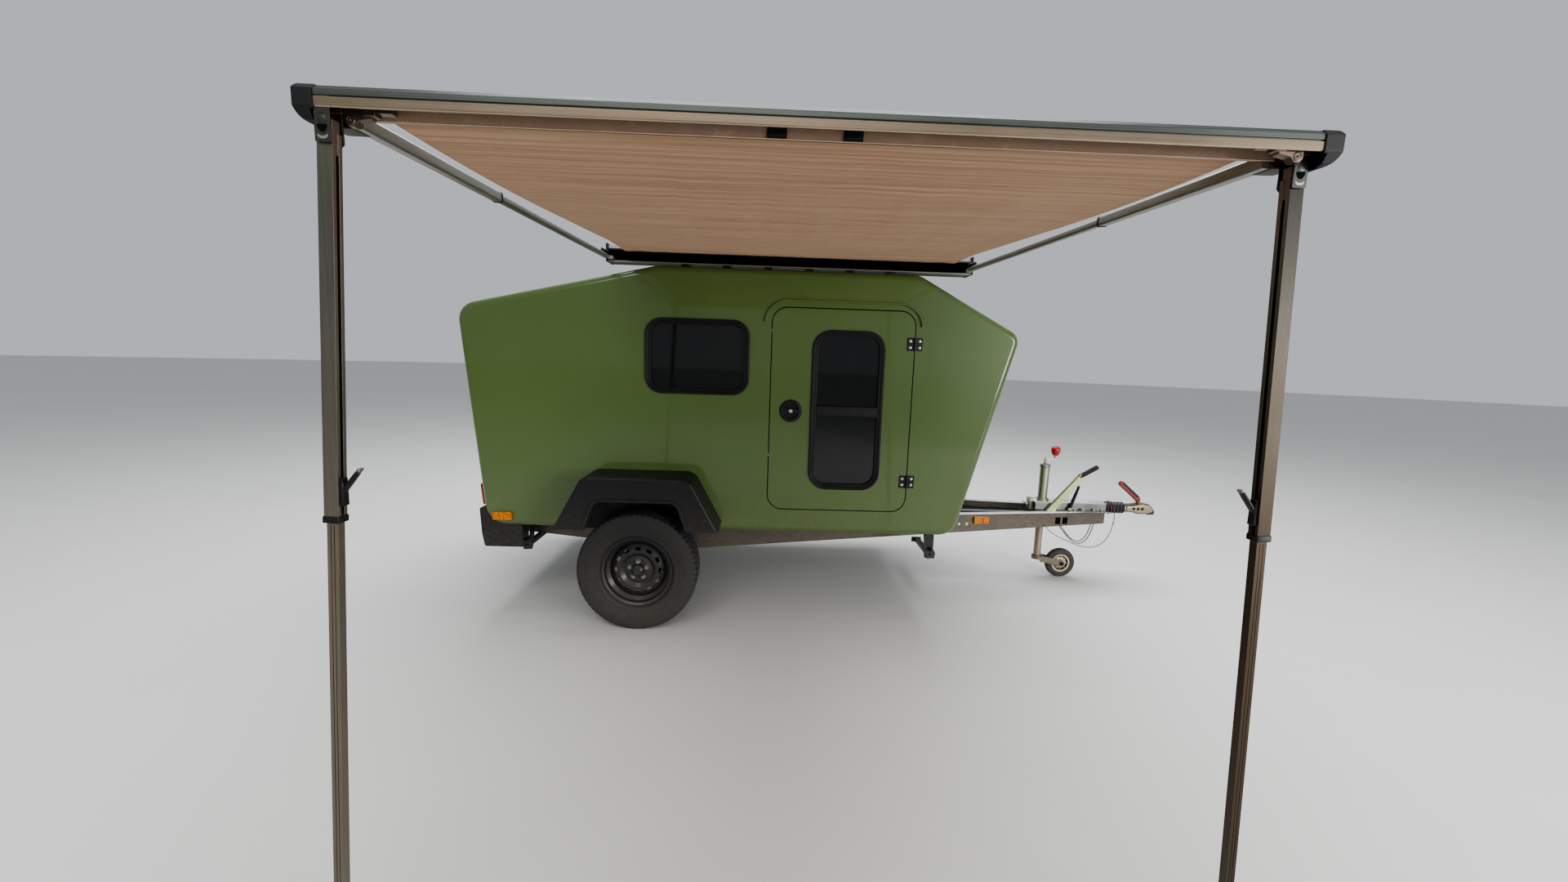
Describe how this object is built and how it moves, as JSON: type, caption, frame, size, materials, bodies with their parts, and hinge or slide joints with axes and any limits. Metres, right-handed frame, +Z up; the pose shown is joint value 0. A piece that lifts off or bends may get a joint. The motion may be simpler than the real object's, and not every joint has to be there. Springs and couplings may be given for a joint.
{
  "type": "small sleeping trailer with side awning",
  "caption": "Small angular green sleeping trailer with a drawbar, jockey wheel and side doors, and an awning wound out on legs.",
  "frame": {"origin": "centre of the tow ball inside the coupling head", "axes": "+X forwards along the drawbar, +Y to the trailer's left, +Z up"},
  "size_m": [4.3043, 3.7355, 2.008],
  "materials": {
    "green_gelcoat": "smooth gloss gelcoat",
    "black_moulding": "matt black moulding",
    "black_fittings": "satin black",
    "dark_acrylic": "dark tinted acrylic",
    "galvanised_steel": "hot-dip galvanised",
    "black_steel": "satin black",
    "cream_rim": "cream paint",
    "black_tyre": "matt rubber",
    "black_rubber": "matt rubber",
    "red_cable": "plastic-covered wire",
    "anodised_aluminium": "satin anodised",
    "cassette_metal": "satin dark grey",
    "awning_canvas": "coated cloth with fine lines",
    "red_lens": "clear red lens",
    "amber_lens": "clear amber lens",
    "plate_white": "blank white"
  },
  "bodies": {
    "trailer": {"amber_markers": "amber_lens", "awning_cassette": "cassette_metal", "awning_end_caps": "black_moulding", "awning_fabric": "awning_canvas", "awning_lead_rail": "anodised_aluminium", "awning_rafters": "anodised_aluminium", "axle": "galvanised_steel", "bellows": "black_rubber", "body_hinge_leaves": "black_fittings", "breakaway_cable": "red_cable", "breakaway_ferrule": "galvanised_steel", "cable_clips": "galvanised_steel", "chassis_rails": "galvanised_steel", "coupling": "galvanised_steel", "cross_members": "galvanised_steel", "floor_pan": "green_gelcoat", "handbrake": "galvanised_steel", "hanging_cable_lower": "black_rubber", "hanging_cable_upper": "black_rubber", "jockey_outer_tube": "galvanised_steel", "mudguard_left": "black_moulding", "mudguard_right": "black_moulding", "nose_panel": "green_gelcoat", "number_plate": "plate_white", "overrun_housing": "galvanised_steel", "rear_bumper": "black_moulding", "roof_shell": "green_gelcoat", "side_wall_left": "green_gelcoat", "side_wall_right": "green_gelcoat", "side_window_frames": "black_moulding", "side_window_panes": "dark_acrylic", "steady_hangers": "black_steel", "tail_lamps": "red_lens", "tail_panel": "green_gelcoat"},
    "jockey_tube": {"jockey_inner_tube": "galvanised_steel"},
    "jockey_swivel": {"jockey_fork": "galvanised_steel"},
    "jockey_wheel": {"jockey_rim": "cream_rim", "jockey_tyre": "black_tyre"},
    "tail_hatch": {"hatch": "green_gelcoat", "hatch_fittings": "black_fittings"},
    "wheel_right": {"wheel_rim_right": "black_steel", "tyre_right": "black_tyre"},
    "door_right_leaf": {"door_right": "green_gelcoat", "door_window_frame_right": "black_moulding", "door_panes_right": "dark_acrylic", "door_fittings_right": "black_fittings"},
    "wheel_left": {"wheel_rim_left": "black_steel", "tyre_left": "black_tyre"},
    "door_left_leaf": {"door_left": "green_gelcoat", "door_window_frame_left": "black_moulding", "door_panes_left": "dark_acrylic", "door_fittings_left": "black_fittings"},
    "steady_front_right_leg": {"steady_front_right": "black_steel"},
    "steady_front_left_leg": {"steady_front_left": "black_steel"},
    "steady_rear_right_leg": {"steady_rear_right": "black_steel"},
    "steady_rear_left_leg": {"steady_rear_left": "black_steel"},
    "awning_rear_upper": {"awning_leg_rear": "anodised_aluminium"},
    "awning_rear_lower": {"awning_foot_rear": "anodised_aluminium"},
    "awning_front_upper": {"awning_leg_front": "anodised_aluminium"},
    "awning_front_lower": {"awning_foot_front": "anodised_aluminium"}
  },
  "joints": [
    {"name": "wheel_right_spin", "type": "hinge", "parent": "trailer", "child": "wheel_right", "pos_m": [-3.26, -0.86, -0.166], "axis": [0, 1, 0], "continuous": true},
    {"name": "door_right_hinge", "type": "hinge", "parent": "trailer", "child": "door_right_leaf", "pos_m": [-1.828, -0.746, 0.686], "axis": [0, 0, 1], "range_deg": [0, 100]},
    {"name": "wheel_left_spin", "type": "hinge", "parent": "trailer", "child": "wheel_left", "pos_m": [-3.26, 0.86, -0.166], "axis": [0, 1, 0], "continuous": true},
    {"name": "door_left_hinge", "type": "hinge", "parent": "trailer", "child": "door_left_leaf", "pos_m": [-1.828, 0.746, 0.686], "axis": [0, 0, -1], "range_deg": [0, 100]},
    {"name": "hatch_hinge", "type": "hinge", "parent": "trailer", "child": "tail_hatch", "pos_m": [-4.22836, 0, 1.01188], "axis": [0, 1, 0], "range_deg": [0, 85]},
    {"name": "jockey_slide", "type": "slide", "parent": "trailer", "child": "jockey_tube", "axis": [0, 0, 1], "range_m": [-0.12, 0.06]},
    {"name": "jockey_swivel_turn", "type": "hinge", "parent": "jockey_tube", "child": "jockey_swivel", "pos_m": [-0.703, 0, -0.34], "axis": [0, 0, 1], "continuous": true},
    {"name": "jockey_wheel_spin", "type": "hinge", "parent": "jockey_swivel", "child": "jockey_wheel", "pos_m": [-0.539, 0, -0.38], "axis": [0, 1, 0], "continuous": true},
    {"name": "steady_front_right_fold", "type": "hinge", "parent": "trailer", "child": "steady_front_right_leg", "pos_m": [-1.632, -0.58, -0.145], "axis": [-1, 0, 0], "range_deg": [0, 86]},
    {"name": "steady_front_left_fold", "type": "hinge", "parent": "trailer", "child": "steady_front_left_leg", "pos_m": [-1.632, 0.58, -0.145], "axis": [1, 0, 0], "range_deg": [0, 86]},
    {"name": "steady_rear_right_fold", "type": "hinge", "parent": "trailer", "child": "steady_rear_right_leg", "pos_m": [-3.96, -0.58, -0.145], "axis": [-1, 0, 0], "range_deg": [0, 86]},
    {"name": "steady_rear_left_fold", "type": "hinge", "parent": "trailer", "child": "steady_rear_left_leg", "pos_m": [-3.96, 0.58, -0.145], "axis": [1, 0, 0], "range_deg": [0, 86]},
    {"name": "awning_rear_fold", "type": "hinge", "parent": "trailer", "child": "awning_rear_upper", "pos_m": [-3.412, -2.736, 1.358], "axis": [0, -1, 0], "range_deg": [0, 90]},
    {"name": "awning_rear_slide", "type": "slide", "parent": "awning_rear_upper", "child": "awning_rear_lower", "axis": [0.0558, 0, 0.9984], "range_m": [0, 0.56]},
    {"name": "awning_front_fold", "type": "hinge", "parent": "trailer", "child": "awning_front_upper", "pos_m": [-1.588, -2.708, 1.358], "axis": [0, 1, 0], "range_deg": [0, 90]},
    {"name": "awning_front_slide", "type": "slide", "parent": "awning_front_upper", "child": "awning_front_lower", "axis": [-0.0558, 0, 0.9984], "range_m": [0, 0.56]}
  ]
}
